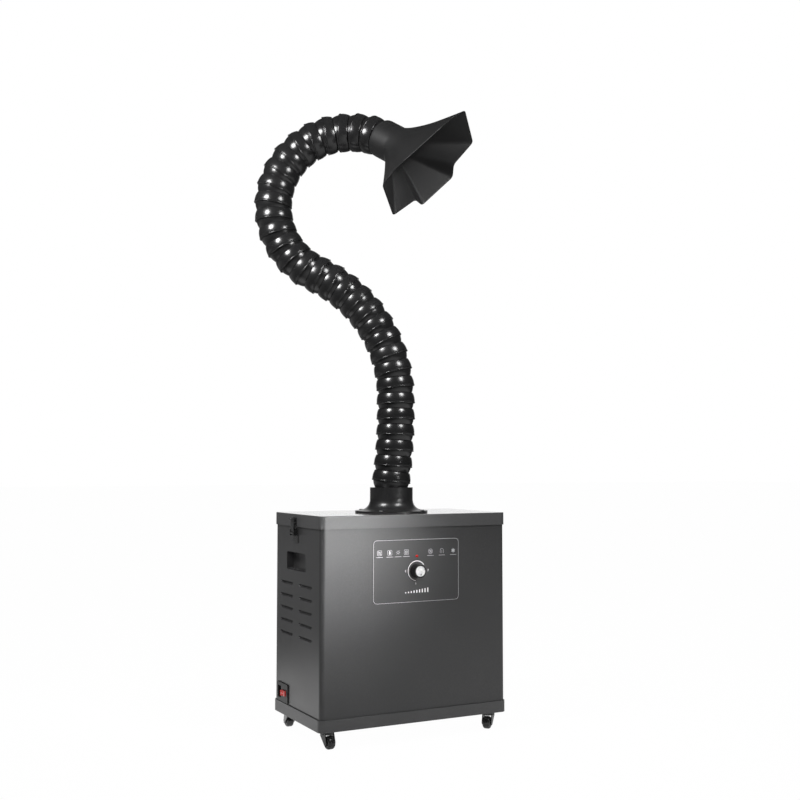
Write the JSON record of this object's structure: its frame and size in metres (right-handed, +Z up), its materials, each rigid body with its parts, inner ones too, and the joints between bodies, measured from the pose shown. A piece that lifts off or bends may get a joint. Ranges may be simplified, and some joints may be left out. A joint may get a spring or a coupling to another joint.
{
  "type": "fume extractor",
  "caption": "Floor-standing fume extractor: steel cabinet on casters with louvred sides, speed knob and mains inlet, and a jointed ball-link suction arm with a flared hood.",
  "frame": {"origin": "on the floor under the centre of the cabinet", "axes": "+Z up, -Y towards the front with the control panel, +X to the right seen from the front"},
  "size_m": [0.4937, 0.3278, 1.3273],
  "materials": {
    "charcoal_paint": "satin",
    "bare_steel": "satin",
    "latch_metal": "satin",
    "screw_metal": "satin",
    "caster_metal": "satin",
    "panel_film": "satin",
    "black_satin": "satin",
    "black_gloss": "gloss",
    "silver_cap": "satin",
    "red_plastic": "gloss",
    "seal_rubber": "matte",
    "filter_media": "matte",
    "motor_iron": "matte",
    "board_green": "satin",
    "blower_plastic": "matte"
  },
  "bodies": {
    "cabinet": {"cabinet_shell": "charcoal_paint", "base_tray": "charcoal_paint", "grip_cup_left": "charcoal_paint", "grip_cup_right": "charcoal_paint", "control_panel": "panel_film", "power_lamp": "red_plastic", "power_inlet": "black_satin", "latch_base_left": "latch_metal", "latch_base_right": "latch_metal", "caster_plates": "caster_metal", "filter_shelf": "bare_steel", "main_filter": "filter_media", "prefilter": "filter_media", "blower_housing": "bare_steel", "blower_motor": "motor_iron", "motor_stand": "bare_steel", "control_board": "board_green", "potentiometer": "black_satin"},
    "lid": {"lid": "charcoal_paint", "lid_gasket": "seal_rubber", "inlet_flange": "black_satin", "flange_screws": "screw_metal", "latch_keepers": "latch_metal"},
    "latch_left": {"latch_hook_left": "latch_metal"},
    "latch_right": {"latch_hook_right": "latch_metal"},
    "speed_knob": {"speed_knob": "black_satin", "knob_cap": "silver_cap", "knob_shaft": "bare_steel"},
    "rocker": {"rocker_switch": "red_plastic"},
    "arm_base": {"arm_base": "black_gloss"},
    "arm_01_03": {"arm_link_01_03": "black_gloss"},
    "arm_04_06": {"arm_link_04_06": "black_gloss"},
    "arm_07_09": {"arm_link_07_09": "black_gloss"},
    "arm_10_12": {"arm_link_10_12": "black_gloss"},
    "arm_13_14": {"arm_link_13_14": "black_gloss"},
    "arm_15_16": {"arm_link_15_16": "black_gloss"},
    "arm_17_18": {"arm_link_17_18": "black_gloss"},
    "arm_19_20": {"arm_link_19_20": "black_gloss"},
    "arm_21": {"arm_link_21": "black_gloss"},
    "arm_22": {"arm_link_22": "black_gloss"},
    "arm_23": {"arm_link_23": "black_gloss"},
    "arm_24": {"arm_link_24": "black_gloss"},
    "arm_25": {"arm_link_25": "black_gloss"},
    "arm_26": {"arm_link_26": "black_gloss"},
    "arm_27": {"arm_link_27": "black_gloss"},
    "arm_28": {"arm_link_28": "black_gloss"},
    "arm_29": {"arm_link_29": "black_gloss"},
    "arm_30": {"arm_link_30": "black_gloss"},
    "arm_31": {"arm_link_31": "black_gloss"},
    "hood": {"hood": "black_gloss"},
    "caster_front_left": {"caster_fork_front_left": "black_gloss"},
    "caster_front_right": {"caster_fork_front_right": "black_gloss"},
    "caster_back_left": {"caster_fork_back_left": "black_gloss"},
    "caster_back_right": {"caster_fork_back_right": "black_gloss"},
    "impeller": {"impeller": "blower_plastic", "motor_shaft": "bare_steel"},
    "wheel_front_left": {"caster_wheel_front_left": "black_gloss"},
    "wheel_front_right": {"caster_wheel_front_right": "black_gloss"},
    "wheel_back_left": {"caster_wheel_back_left": "black_gloss"},
    "wheel_back_right": {"caster_wheel_back_right": "black_gloss"}
  },
  "joints": [
    {"name": "lid_lift", "type": "slide", "parent": "cabinet", "child": "lid", "axis": [0, 0, 1], "range_m": [0, 0.05]},
    {"name": "latch_left_swing", "type": "hinge", "parent": "cabinet", "child": "latch_left", "pos_m": [-0.2195, 0.007, 0.418], "axis": [0, -1, 0], "range_deg": [0, 165.2]},
    {"name": "latch_right_swing", "type": "hinge", "parent": "cabinet", "child": "latch_right", "pos_m": [0.2195, 0.007, 0.418], "axis": [0, 1, 0], "range_deg": [0, 165.2]},
    {"name": "speed_knob_turn", "type": "hinge", "parent": "cabinet", "child": "speed_knob", "pos_m": [0, -0.1241, 0.341], "axis": [0, 1, 0], "range_deg": [-140, 140]},
    {"name": "power_switch_tilt", "type": "hinge", "parent": "cabinet", "child": "rocker", "pos_m": [-0.213, 0.065, 0.0805], "axis": [0, 0, 1], "range_deg": [-18, 0]},
    {"name": "arm_swivel", "type": "hinge", "parent": "lid", "child": "arm_base", "pos_m": [0.0043, 0, 0.509], "axis": [0, 0, 1], "continuous": true},
    {"name": "hood_turn", "type": "hinge", "parent": "arm_31", "child": "hood", "pos_m": [-0.02086, -0.01722, 1.2638], "axis": [0.3731, -0.7681, -0.5204], "continuous": true},
    {"name": "arm_bend_01", "type": "hinge", "parent": "arm_base", "child": "arm_01_03", "pos_m": [0.0043, 0, 0.52642], "axis": [0.454, 0.891, 0], "range_deg": [-21.5, 8.5]},
    {"name": "arm_bend_02", "type": "hinge", "parent": "arm_01_03", "child": "arm_04_06", "pos_m": [0.01192, -0.00388, 0.62743], "axis": [0.454, 0.891, 0], "range_deg": [-13.34, 16.66]},
    {"name": "arm_bend_03", "type": "hinge", "parent": "arm_04_06", "child": "arm_07_09", "pos_m": [0.0117, -0.00377, 0.72881], "axis": [-0.454, -0.891, 0], "range_deg": [-21.52, 8.48]},
    {"name": "arm_bend_04", "type": "hinge", "parent": "arm_07_09", "child": "arm_10_12", "pos_m": [-0.01134, 0.00797, 0.8264], "axis": [0.454, 0.891, 0], "range_deg": [-8.48, 21.52]},
    {"name": "arm_bend_05", "type": "hinge", "parent": "arm_10_12", "child": "arm_13_14", "pos_m": [-0.06216, 0.03386, 0.90971], "axis": [-0.454, -0.891, 0], "range_deg": [-21.52, 8.48]},
    {"name": "arm_bend_06", "type": "hinge", "parent": "arm_13_14", "child": "arm_15_16", "pos_m": [-0.1087, 0.05758, 0.95245], "axis": [0.454, 0.891, 0], "range_deg": [-8.48, 21.52]},
    {"name": "arm_bend_07", "type": "hinge", "parent": "arm_15_16", "child": "arm_17_18", "pos_m": [-0.16149, 0.08447, 0.98499], "axis": [0.454, 0.891, 0], "range_deg": [-26.78, 3.22]},
    {"name": "arm_bend_08", "type": "hinge", "parent": "arm_17_18", "child": "arm_19_20", "pos_m": [-0.20334, 0.1058, 1.0331], "axis": [-0.454, -0.891, 0], "range_deg": [-3.22, 26.78]},
    {"name": "arm_bend_09", "type": "hinge", "parent": "arm_19_20", "child": "arm_21", "pos_m": [-0.22457, 0.11661, 1.09598], "axis": [0.454, 0.891, 0], "range_deg": [-26.78, 3.22]},
    {"name": "arm_bend_10", "type": "hinge", "parent": "arm_21", "child": "arm_22", "pos_m": [-0.22619, 0.11744, 1.12974], "axis": [-0.454, -0.891, 0], "range_deg": [-3.22, 26.78]},
    {"name": "arm_bend_11", "type": "hinge", "parent": "arm_22", "child": "arm_23", "pos_m": [-0.22163, 0.11512, 1.16315], "axis": [0.454, 0.891, 0], "range_deg": [-26.78, 3.22]},
    {"name": "arm_bend_12", "type": "hinge", "parent": "arm_23", "child": "arm_24", "pos_m": [-0.2111, 0.10975, 1.19481], "axis": [-0.454, -0.891, 0], "range_deg": [-3.22, 26.78]},
    {"name": "arm_bend_13", "type": "hinge", "parent": "arm_24", "child": "arm_25", "pos_m": [-0.19502, 0.10156, 1.22339], "axis": [0.454, 0.891, 0], "range_deg": [-26.78, 3.22]},
    {"name": "arm_bend_14", "type": "hinge", "parent": "arm_25", "child": "arm_26", "pos_m": [-0.17409, 0.09089, 1.24769], "axis": [-0.454, -0.891, 0], "range_deg": [-3.22, 26.78]},
    {"name": "arm_bend_15", "type": "hinge", "parent": "arm_26", "child": "arm_27", "pos_m": [-0.14917, 0.0782, 1.26668], "axis": [0.454, 0.891, 0], "range_deg": [-26.78, 3.22]},
    {"name": "arm_bend_16", "type": "hinge", "parent": "arm_27", "child": "arm_28", "pos_m": [-0.12133, 0.06401, 1.27956], "axis": [-0.454, -0.891, 0], "range_deg": [-3.22, 26.78]},
    {"name": "arm_bend_17", "type": "hinge", "parent": "arm_28", "child": "arm_29", "pos_m": [-0.09173, 0.04893, 1.28579], "axis": [0.4705, 0.7034, -0.5327], "range_deg": [-29.31, 0.69]},
    {"name": "arm_bend_18", "type": "hinge", "parent": "arm_29", "child": "arm_30", "pos_m": [-0.06395, 0.02969, 1.28492], "axis": [-0.4584, -0.6873, 0.5634], "range_deg": [-0.87, 29.13]},
    {"name": "arm_bend_19", "type": "hinge", "parent": "arm_30", "child": "arm_31", "pos_m": [-0.0398, 0.00731, 1.27727], "axis": [0.4185, 0.6636, -0.6201], "range_deg": [-28.77, 1.24]},
    {"name": "caster_swivel_front_left", "type": "hinge", "parent": "cabinet", "child": "caster_front_left", "pos_m": [-0.187, -0.097, 0.0317], "axis": [0, 0, 1], "continuous": true},
    {"name": "caster_swivel_front_right", "type": "hinge", "parent": "cabinet", "child": "caster_front_right", "pos_m": [0.187, -0.097, 0.0317], "axis": [0, 0, 1], "continuous": true},
    {"name": "caster_swivel_back_left", "type": "hinge", "parent": "cabinet", "child": "caster_back_left", "pos_m": [-0.187, 0.097, 0.0317], "axis": [0, 0, 1], "continuous": true},
    {"name": "caster_swivel_back_right", "type": "hinge", "parent": "cabinet", "child": "caster_back_right", "pos_m": [0.187, 0.097, 0.0317], "axis": [0, 0, 1], "continuous": true},
    {"name": "impeller_spin", "type": "hinge", "parent": "cabinet", "child": "impeller", "pos_m": [0, 0, 0.2203], "axis": [0, 0, 1], "continuous": true},
    {"name": "wheel_spin_front_left", "type": "hinge", "parent": "caster_front_left", "child": "wheel_front_left", "pos_m": [-0.18596, -0.10694, 0.013], "axis": [0.9945, 0.1045, 0], "continuous": true},
    {"name": "wheel_spin_front_right", "type": "hinge", "parent": "caster_front_right", "child": "wheel_front_right", "pos_m": [0.17957, -0.10369, 0.013], "axis": [0.6691, -0.7431, 0], "continuous": true},
    {"name": "wheel_spin_back_left", "type": "hinge", "parent": "caster_back_left", "child": "wheel_back_left", "pos_m": [-0.1863, 0.10698, 0.013], "axis": [-0.9976, 0.0698, 0], "continuous": true},
    {"name": "wheel_spin_back_right", "type": "hinge", "parent": "caster_back_right", "child": "wheel_back_right", "pos_m": [0.192, 0.10566, 0.013], "axis": [-0.866, 0.5, 0], "continuous": true}
  ],
  "couplings": [
    {"joint": "latch_left_swing", "follows": "lid_lift", "rad_per_m": 57.596},
    {"joint": "latch_right_swing", "follows": "lid_lift", "rad_per_m": 57.596}
  ]
}
